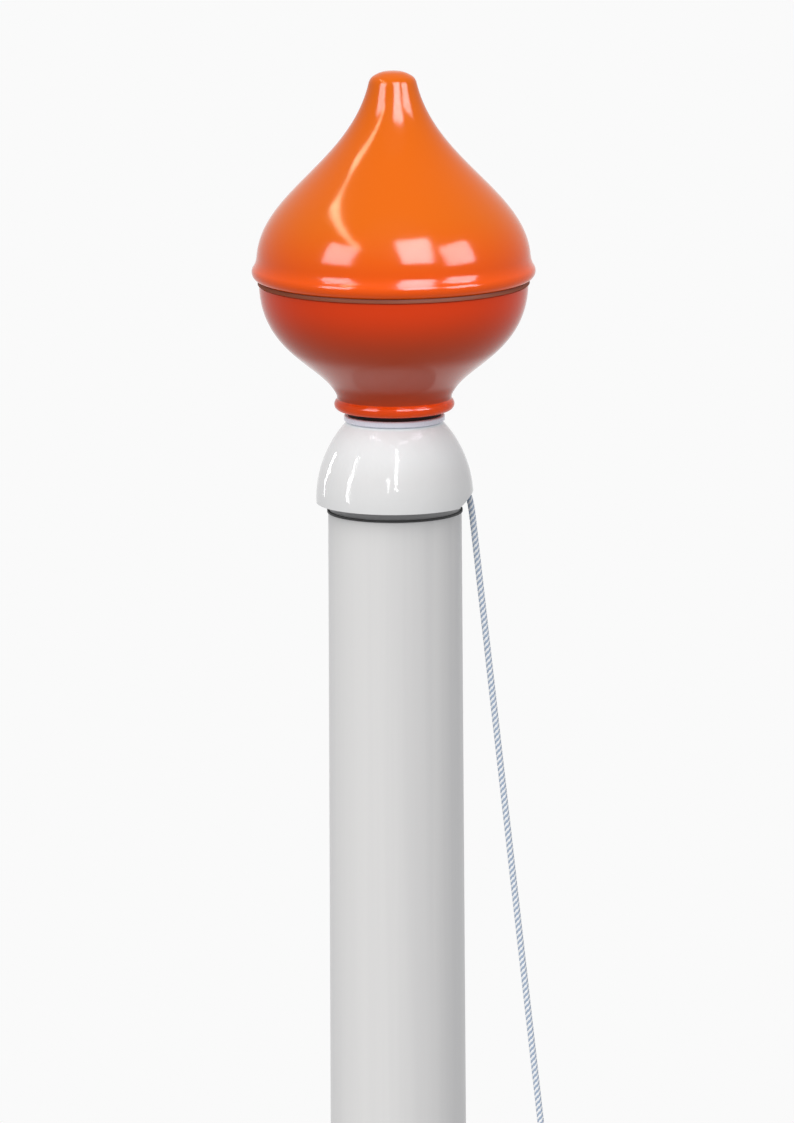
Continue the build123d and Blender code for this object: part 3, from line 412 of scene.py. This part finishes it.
def crownShell():
    low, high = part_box("finial_upper")
    foot = low.z
    tip = (crown["tip"], high.z - crown["tipDrop"])
    sideFoot = foot + crown["sideFoot"]
    rise = tip[1] - sideFoot
    side = curvePoints((crown["rim"], sideFoot), (crown["rim"], sideFoot + crown["bellyRise"] * rise),
                       (crown["tip"] + crown["waist"], sideFoot + crown["waistRise"] * rise), tip,
                       crown["sideSteps"])
    side = [point for point in side if point[1] > foot + crown["blendRise"]]
    beadCentre = (high.x - crown["beadRadius"], foot + crown["beadRise"])
    bead = arcPoints(beadCentre, crown["beadRadius"], *crown["beadArc"])
    fromBead, toSide = crown["blendHandles"]
    blend = curvePoints(bead[-1], beside(bead[-1], fromBead), beside(side[0], toSide), side[0],
                        crown["blendSteps"])[1:-1]
    crestEdge = (crown["crest"], high.z - crown["crestDrop"])
    fromSide, toCrest = crown["shoulderHandles"]
    shoulder = curvePoints(tip, beside(tip, fromSide), beside(crestEdge, toCrest), crestEdge,
                           crown["shoulderSteps"])[1:]
    crestTop = high.z + crown["crestRise"]
    crest = curvePoints(crestEdge, beside(crestEdge, crown["crestHandle"]), (crown["crest"] / 2, crestTop),
                        (0, crestTop), crown["crestSteps"])[1:]
    outside = [(crown["rim"] - crown["rimFoot"], foot)] + bead + blend + side + shoulder + crest
    inside = [(crown["rim"] - crown["wall"], foot)]
    inside += [(radius - crown["wall"], height) for radius, height in side]
    inside.append((0, high.z - crown["roof"]))
    addPiece("crown_shell", spinSection(outside + inside[::-1], crown["steps"]), "finial_upper",
             finishes["finial_upper"], ["finial_upper"], crown["crease"])


# The lower shell has a lip at the joint, a rolled neck ring and a floor with a bore
bowl = {"wall": 2.5 * mm, "steps": 128, "crease": 50, "joint": 0.8 * mm, "rim": 76.4 * mm, "bellyDrop": 0.62,
        "neck": 32.7 * mm, "neckRise": 9.4 * mm, "waist": 7.6 * mm, "waistRise": 0.28, "sideSteps": 64,
        "ringRadius": 3.5 * mm, "ringReach": 34.2 * mm, "ringRise": 4.3 * mm, "ringArc": (58, -96, 20),
        "foot": 26.0 * mm, "footChamfer": (0.5 * mm, 0.9 * mm), "bore": 6.3 * mm, "floor": 3 * mm,
        "floorReach": 28 * mm, "neckInside": 30 * mm, "lap": 74.9 * mm, "lapFoot": 1 * mm,
        "lip": 0.7 * mm, "lipDrop": 1.0 * mm, "lipTop": 1.2 * mm, "lipRound": 0.1 * mm, "lipWall": 0.3 * mm,
        "lipHeel": 0.35 * mm, "groove": 0.6 * mm, "grooveEdges": (0.05 * mm, 0.5 * mm, 0.6 * mm),
        "sideTop": 0.8 * mm}


def bowlShell():
    low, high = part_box("finial_lower")
    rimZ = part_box("finial_upper")[0].z - bowl["joint"]
    neckZ = low.z + bowl["neckRise"]
    deep = rimZ - neckZ
    side = curvePoints((bowl["rim"], rimZ), (bowl["rim"], rimZ - bowl["bellyDrop"] * deep),
                       (bowl["neck"] + bowl["waist"], neckZ + bowl["waistRise"] * deep),
                       (bowl["neck"], neckZ), bowl["sideSteps"])
    ringCentre = (bowl["ringReach"] - bowl["ringRadius"], low.z + bowl["ringRise"])
    ring = arcPoints(ringCentre, bowl["ringRadius"], *bowl["ringArc"])
    foot = [beside((bowl["foot"], low.z), bowl["footChamfer"]), (bowl["foot"], low.z), (bowl["bore"], low.z)]
    floorZ = low.z + bowl["floor"]
    lap, lapInside = bowl["lap"], bowl["lap"] - bowl["wall"]
    inside = [(bowl["bore"], floorZ), (bowl["floorReach"], floorZ), (bowl["neckInside"], neckZ)]
    inside += [(radius - bowl["wall"], height) for radius, height in side[-2:3:-1]]
    inside += [(lapInside, rimZ - bowl["lapFoot"]), (lapInside, high.z), (lap, high.z), (lap, rimZ)]
    edge = bowl["rim"] + bowl["lip"]
    lipTop, lipFoot = rimZ + bowl["lipTop"], rimZ - bowl["lipDrop"]
    lip = [(edge - bowl["lipHeel"], rimZ), (edge - bowl["lipWall"], lipTop),
           (edge - bowl["lipRound"], lipTop + bowl["lipRound"]), (edge, lipTop), (edge, lipFoot)]
    upper, lower, end = (lipFoot - drop for drop in bowl["grooveEdges"])
    grooveFloor = bowl["rim"] - bowl["groove"]
    groove = [(grooveFloor, upper), (grooveFloor, lower), (bowl["rim"], end)]
    side = [point for point in side if point[1] < lipFoot - bowl["sideTop"]]
    addPiece("bowl_shell", spinSection(lip + groove + side + ring + foot + inside, bowl["steps"]),
             "finial_lower", finishes["finial_lower"], ["finial_lower"], bowl["crease"])


crownShell()
bowlShell()
print("finial shells done")


# Halyard: a braid of six strands each way round a core, over a path read from its own smooth curve
rope = {"radius": 2.0 * mm, "pitch": 9.6 * mm, "strands": 6, "ringsPerTurn": 20, "seat": 1.46 * mm,
        "weave": 0.15 * mm, "lean": 43, "halfWidth": 0.62 * mm, "halfThick": 0.38 * mm, "sides": 6,
        "core": 1.42 * mm, "coreSides": 10, "coreShadeTone": 0.6, "coreWidth": 2.0, "crease": 60}
fallRoute = [(0.041876, 0, 6.02056), (0.0431, 0, 6.0184), (0.0457, 0, 5.9943), (0.08587, 0, 5.61819)]
headRoute = [(0.0, 0, 5.982), (0.0, 0, 6.0376), (0.0, 0, 6.0526), (0.015, 0, 6.0526), (0.0250, 0, 6.0526),
             (0.02806, 0, 6.04497), (0.041876, 0, 6.02056)]
braidFinish = ropeYarn()


def smoothPath(route, step):  # evenly spaced points on the route's smooth curve
    curve = bpy.data.curves.new("route", "CURVE")
    curve.dimensions = "3D"
    curve.resolution_u = 48
    spline = curve.splines.new("NURBS")
    spline.points.add(len(route) - 1)
    for point, spot in zip(spline.points, route):
        point.co = (*spot, 1)
    spline.order_u = 3
    spline.use_endpoint_u = True
    holder = bpy.data.objects.new("route", curve)
    bpy.context.scene.collection.objects.link(holder)
    bpy.context.view_layer.update()
    line = bpy.data.meshes.new_from_object(holder)
    dense = [vert.co.copy() for vert in line.vertices]
    bpy.data.objects.remove(holder)
    bpy.data.curves.remove(curve)
    bpy.data.meshes.remove(line)
    lengths = [0.0]
    for a, b in zip(dense, dense[1:]):
        lengths.append(lengths[-1] + (b - a).length)
    count = max(2, round(lengths[-1] / step))
    even, at = [], 0
    for index in range(count + 1):
        reach = lengths[-1] * index / count
        while at < len(dense) - 2 and lengths[at + 1] < reach:
            at += 1
        share = (reach - lengths[at]) / max(lengths[at + 1] - lengths[at], 1e-9)
        even.append(dense[at].lerp(dense[at + 1], min(share, 1.0)))
    return even, lengths[-1]


def sweepSection(bm, section, strandTone, width, layers):  # skin rings of points, and close both ends
    toneLayer, yarnLayer = layers
    sides = len(section[0])
    rings = [[bm.verts.new(point) for point in ring] for ring in section]
    for ring in rings:
        for vert in ring:
            vert[toneLayer] = strandTone
    for index, (near, far) in enumerate(zip(rings, rings[1:])):
        for side in range(sides):
            after = (side + 1) % sides
            face = bm.faces.new((near[side], near[after], far[after], far[side]))
            spots = [(index, side), (index, side + 1), (index + 1, side + 1), (index + 1, side)]
            for loop, (row, column) in zip(face.loops, spots):
                loop[yarnLayer].uv = (row / rope["ringsPerTurn"], column / sides * width)
    bm.faces.new(rings[0][::-1])
    bm.faces.new(rings[-1])


def braidedRope(name, route, like):
    path, length = smoothPath(route, rope["pitch"] / rope["ringsPerTurn"])
    bm = bmesh.new()
    layers = (bm.verts.layers.float.new("strandTone"), bm.loops.layers.uv.new("yarn"))
    side = Vector((0, 1, 0))
    frames = []
    for index, point in enumerate(path):
        ahead = (path[min(index + 1, len(path) - 1)] - path[max(index - 1, 0)]).normalized()
        frames.append((point, ahead, ahead.cross(side).normalized()))

    def ringAt(index, angle, seat, lean):  # one strand's outline, leaning with the strand
        point, ahead, up = frames[index]
        outward = side * cos(angle) + up * sin(angle)
        across = (up * cos(angle) - side * sin(angle)) * cos(lean) - ahead * sin(lean)
        spots = []
        for step in range(rope["sides"]):
            turn = tau * step / rope["sides"]
            spots.append(point + outward * (seat + rope["halfThick"] * cos(turn))
                         + across * rope["halfWidth"] * sin(turn))
        return spots

    for way in (1, -1):
        for strand in range(rope["strands"]):
            section = []
            for index in range(len(path)):
                turns = index / rope["ringsPerTurn"]
                angle = tau * strand / rope["strands"] + way * tau * turns
                lift = -way * rope["weave"] * cos(tau * rope["strands"] * turns)
                section.append(ringAt(index, angle, rope["seat"] + lift, way * radians(rope["lean"])))
            sweepSection(bm, section, 1.0 - strand % 2, 1.0, layers)
    # The core is blue-grey and shows only in the gaps between strands, where its tone is partly painted shade
    angles = [tau * step / rope["coreSides"] for step in range(rope["coreSides"])]
    core = [[point + (side * cos(angle) + up * sin(angle)) * rope["core"] for angle in angles]
            for point, _, up in frames]
    sweepSection(bm, core, rope["coreShadeTone"], rope["coreWidth"], layers)
    bmesh.ops.recalc_face_normals(bm, faces=bm.faces[:])
    return addPiece(name, bm, like, braidFinish, [like], rope["crease"]), path, length


fallRope, fallPath, fallLength = braidedRope("halyard_fall_rope", fallRoute, "halyard_fall")
braidedRope("halyard_head_rope", headRoute, "halyard_head")
print("halyard:", round(fallLength, 4), "m outside the cap")


# Cleat screws: pan heads with a cross recess, sunk in the cleat's two seats
screw = {"head": 3.7 * mm, "height": 2.2 * mm, "segments": 32, "edge": 0.9 * mm, "edgeSegments": 4,
         "cross": 2.1 * mm, "slot": 0.55 * mm, "depth": 1.1 * mm, "turn": 20, "inset": 9 * mm, "sunk": 4 * mm}


def crossScrew(name, spot, like, material):
    bm = bmesh.new()
    bmesh.ops.create_cone(bm, cap_ends=True, segments=screw["segments"], radius1=screw["head"],
                          radius2=screw["head"], depth=screw["height"])
    top = [face for face in bm.faces if face.normal.z > 0.9]
    bmesh.ops.bevel(bm, geom=list(top[0].edges), offset=screw["edge"], segments=screw["edgeSegments"],
                    profile=0.5, affect="EDGES", material=-1)
    for axis in (Vector((1, 0, 0)), Vector((0, 1, 0))):
        for offset in (-screw["cross"], -screw["slot"], screw["slot"], screw["cross"]):
            flat = [face for face in bm.faces if face.normal.z > 0.99 and face.calc_center_median().z > 0]
            edges = dict.fromkeys(edge for face in flat for edge in face.edges)
            corners = dict.fromkeys(vert for face in flat for vert in face.verts)
            bmesh.ops.bisect_plane(bm, geom=[*flat, *edges, *corners], plane_co=axis * offset, plane_no=axis)
    recess = []
    for face in bm.faces:
        centre = face.calc_center_median()
        narrow, wide = sorted((abs(centre.x), abs(centre.y)))
        if face.normal.z > 0.99 and centre.z > 0 and wide < screw["cross"] and narrow < screw["slot"]:
            recess.append(face)
    sunk = bmesh.ops.extrude_face_region(bm, geom=recess)
    bmesh.ops.delete(bm, geom=recess, context="FACES")
    bmesh.ops.translate(bm, verts=[item for item in sunk["geom"] if isinstance(item, bmesh.types.BMVert)],
                        vec=(0, 0, -screw["depth"]))
    bmesh.ops.recalc_face_normals(bm, faces=bm.faces[:])
    for angle, axis in ((screw["turn"], "Z"), (90, "X")):  # turn the cross, then face the -Y side
        turned = Matrix.Rotation(radians(angle), 3, axis)
        bmesh.ops.rotate(bm, verts=bm.verts[:], cent=(0, 0, 0), matrix=turned)
    bmesh.ops.translate(bm, verts=bm.verts[:], vec=spot)
    addPiece(name, bm, like, material)


cleatLow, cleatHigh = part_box("cleat_body")
seatY = cleatLow.y + screw["sunk"] - screw["height"] / 2
for label, height in (("upper", cleatHigh.z - screw["inset"]), ("lower", cleatLow.z + screw["inset"])):
    crossScrew("cleat_screw_" + label, (0, seatY, height), "cleat_body", finishes["winch_rosette"])
print("cleat screws done")


# Pole: the tube in narrow strips on the true cone, with the cone's own normals, so that its gloss runs evenly
poleSkin = {"strip": 6, "near": 0.05 * mm, "ends": 3 * mm, "merge": 0.001 * mm}


def makePoleSkin():
    bm = bmesh.new()
    bm.from_mesh(frame["nodes"]["pole_tube"].data)
    bmesh.ops.remove_doubles(bm, verts=bm.verts, dist=poleSkin["merge"])
    low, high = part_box("pole_tube")
    foot = max(vert.co.xy.length for vert in bm.verts if vert.co.z < low.z + poleSkin["ends"])
    head = max(vert.co.xy.length for vert in bm.verts if vert.co.z > high.z - poleSkin["ends"])
    slope = (foot - head) / (high.z - low.z)

    def depth(vert):  # how far inside the outer cone
        return foot - slope * (vert.co.z - low.z) - vert.co.xy.length

    wall = max(depth(vert) for vert in bm.verts)
    for face in bm.faces:  # 1 outside, 2 inside, 0 for ends and edges
        depths = [depth(vert) for vert in face.verts]
        face.material_index = (max(depths) < poleSkin["near"]) + 2 * (min(depths) > wall - poleSkin["near"])
    for turn in range(0, 180, poleSkin["strip"]):
        across = (cos(radians(turn)), sin(radians(turn)), 0)
        bmesh.ops.bisect_plane(bm, geom=bm.verts[:] + bm.edges[:] + bm.faces[:], dist=poleSkin["merge"],
                               plane_co=(0, 0, 0), plane_no=across)
    for face in bm.faces:
        for vert in face.verts if face.material_index else []:
            shift = (depth(vert) - wall * (face.material_index == 2)) / vert.co.xy.length
            vert.co += Vector((vert.co.x, vert.co.y, 0)) * shift
    mesh = addPiece("pole_skin", bm, "pole_tube", finishes["pole_tube"], ["pole_tube"]).data
    normals = []
    for face in mesh.polygons:
        facing = (0, 1, -1)[face.material_index]  # 0 leaves the normal that the mesh has
        face.material_index = 0
        for point in (mesh.vertices[corner].co for corner in face.vertices):
            normals.append(facing * Vector((point.x, point.y, slope * point.xy.length)).normalized())
    mesh.normals_split_custom_set(normals)
    print("pole skin:", len(mesh.polygons), "faces")


makePoleSkin()


# Camera: in front of the pole's head, a little above it, with a slight lean. Angles in degrees
view = {"target": (0.001, 0, 5.9827), "distance": 5.0, "rise": 10.5, "lean": 0.3168, "lens": 281.3,
        "sensor": 36}


def direction(azimuth, rise):  # from the head: 0, 0 is the -Y side, 90, 0 is the +X side
    turn, lift = radians(azimuth), radians(rise)
    return Vector((sin(turn) * cos(lift), -cos(turn) * cos(lift), sin(lift)))


def addCamera():
    camera = bpy.data.cameras.new("view")
    camera.lens = view["lens"]
    camera.sensor_fit = "VERTICAL"
    camera.sensor_height = view["sensor"]
    holder = bpy.data.objects.new("view", camera)
    bpy.context.scene.collection.objects.link(holder)
    target = Vector(view["target"])
    holder.location = target + view["distance"] * direction(0, view["rise"])
    facing = (target - holder.location).to_track_quat("-Z", "Y")
    holder.rotation_euler = (facing.to_matrix() @ Matrix.Rotation(radians(-view["lean"]), 3, "Z")).to_euler()
    bpy.context.scene.camera = holder


# Gloss lamps stand round the head, and each is a bright shape in the gloss of its own pieces: direction in
# degrees, distance, width, height, radiance and hue
windowHue, warmHue, plainHue = (1.0, 0.89, 1.0), (1.0, 0.92, 0.62), (1.0, 1.0, 1.0)
lamps = {
    "window_left": ("finial", (-50, 28), 3.0, 1.34, 1.36, 31.0, windowHue),
    "window_middle": ("finial", (21, 36), 3.0, 1.36, 1.72, 42.0, windowHue),
    "window_right": ("finial", (60, 26), 3.0, 1.40, 1.40, 33.0, windowHue),
    "strip_far_left": ("cap", (-125, 4), 2.5, 0.14, 1.00, 26.0, plainHue),
    "strip_left": ("cap", (-72, 13), 2.5, 0.20, 1.70, 26.0, plainHue),
    "strip_front": ("cap", (3, 30), 2.5, 0.20, 1.90, 26.0, plainHue),
    "strip_short": ("cap", (-11, 14), 2.5, 0.12, 0.65, 26.0, plainHue),
}
ceilingTube = {"spot": (-1.40, -0.82, 2.0), "wide": 0.24, "long": 2.5, "radiance": 34.0}
headCentre = Vector((0, 0, 6.1))
glossPieces = {"finial": ("crown_shell", "bowl_shell"), "cap": ("cap_dome",)}

# Daylight, as direction and strength: the finial has its own, almost straight from the front
daylight = {"everything": ((-19, 50), 2.3), "finial": ((2, 50), 2.3), "spread": 50,
            "hue": (1.0, 0.985, 0.965), "around": tone(0.50, 0.50, 0.51)}
backdrop = {"tone": grey(0.956), "radius": 3.8, "segments": 96, "fade": (0.6, 3.4), "floorDark": grey(0.84),
            "floorLight": grey(0.86)}


def lightOnly(holder, group, others=False):  # a lamp for one group of pieces, or for all the others
    lit = bpy.data.collections.new(holder.name + "_lit")
    for piece in glossPieces[group]:
        lit.objects.link(bpy.data.objects[piece])
    if others:
        for member in lit.collection_objects:
            member.light_linking.link_state = "EXCLUDE"
    holder.light_linking.receiver_collection = lit


def addLamp(name, lamp, facing, spot=(0, 0, 0)):
    holder = bpy.data.objects.new(name, lamp)
    bpy.context.scene.collection.objects.link(holder)
    holder.location = spot
    holder.rotation_euler = facing.to_track_quat("Z", "Y").to_euler()
    return holder


def glossLamp(name, group, spot, facing, width, height, radiance, hue):  # shows in one group's gloss only
    lamp = bpy.data.lights.new(name, "AREA")
    lamp.shape = "RECTANGLE"
    lamp.size, lamp.size_y = width, height
    lamp.energy = radiance * pi * width * height
    lamp.color = hue
    holder = addLamp(name, lamp, facing, spot)
    holder.visible_camera = False
    holder.visible_diffuse = False
    lightOnly(holder, group)


def addLamps():
    for name, (group, bearing, distance, *shape) in lamps.items():
        away = direction(*bearing)
        glossLamp(name, group, headCentre + away * distance, away, *shape)
    glossLamp("ceiling_tube", "finial", headCentre + Vector(ceilingTube["spot"]), Vector((0, 0, 1)),
              ceilingTube["wide"], ceilingTube["long"], ceilingTube["radiance"], warmHue)
    for group in ("everything", "finial"):
        bearing, strength = daylight[group]
        sun = bpy.data.lights.new("daylight_" + group, "SUN")
        sun.energy = strength
        sun.angle = radians(daylight["spread"])
        sun.color = daylight["hue"]
        holder = addLamp("daylight_" + group, sun, direction(*bearing))
        holder.visible_glossy = False
        lightOnly(holder, "finial", group == "everything")


def addWorld():  # pale to the camera, in gloss and through glass, a plain level of light otherwise
    world = bpy.data.worlds.new("studio")
    world.use_nodes = True
    bpy.context.scene.world = world
    start = Sock(world.node_tree)
    path = start.node("ShaderNodeLightPath")
    seen = [Sock(world.node_tree, path.socket.node.outputs[name])
            for name in ("Is Camera Ray", "Is Glossy Ray", "Is Transmission Ray")]
    pale = (seen[0] + seen[1] + seen[2]).band(0.0, 1.0)
    background = world.node_tree.nodes["Background"]
    join(pale.tint(daylight["around"], backdrop["tone"]), background, "Color")
    background.inputs["Strength"].default_value = 1.0


def addFloor():  # takes the shadow under the foot and fades into the backdrop
    bm = bmesh.new()
    bmesh.ops.create_circle(bm, cap_ends=True, segments=backdrop["segments"], radius=backdrop["radius"])
    mesh = bpy.data.meshes.new("studio_floor")
    bm.to_mesh(mesh)
    bm.free()
    material, start, shader = startMaterial("floor_pale", {"Roughness": 0.9, "Specular IOR Level": 0.1})
    where = place(start)
    join(noise(where, 3, 2).tint(backdrop["floorDark"], backdrop["floorLight"]), shader, "Base Color")
    x, y, _ = where.split()
    distance = (x * x + y * y) ** 0.5
    glow = start.node("ShaderNodeEmission", inputs={"Color": backdrop["tone"], "Strength": 1.0})
    lit = Sock(material.node_tree, shader.outputs[0])
    fade = start.node("ShaderNodeMixShader", inputs={0: distance.band(*backdrop["fade"]), 1: lit, 2: glow})
    join(fade, material.node_tree.nodes["Material Output"], "Surface")
    mesh.materials.append(material)
    floor = bpy.data.objects.new("studio_floor", mesh)
    bpy.context.scene.collection.objects.link(floor)


addCamera()
addLamps()
addWorld()
addFloor()
bpy.context.scene.view_settings.view_transform = "Standard"
print("camera, lamps and floor done")
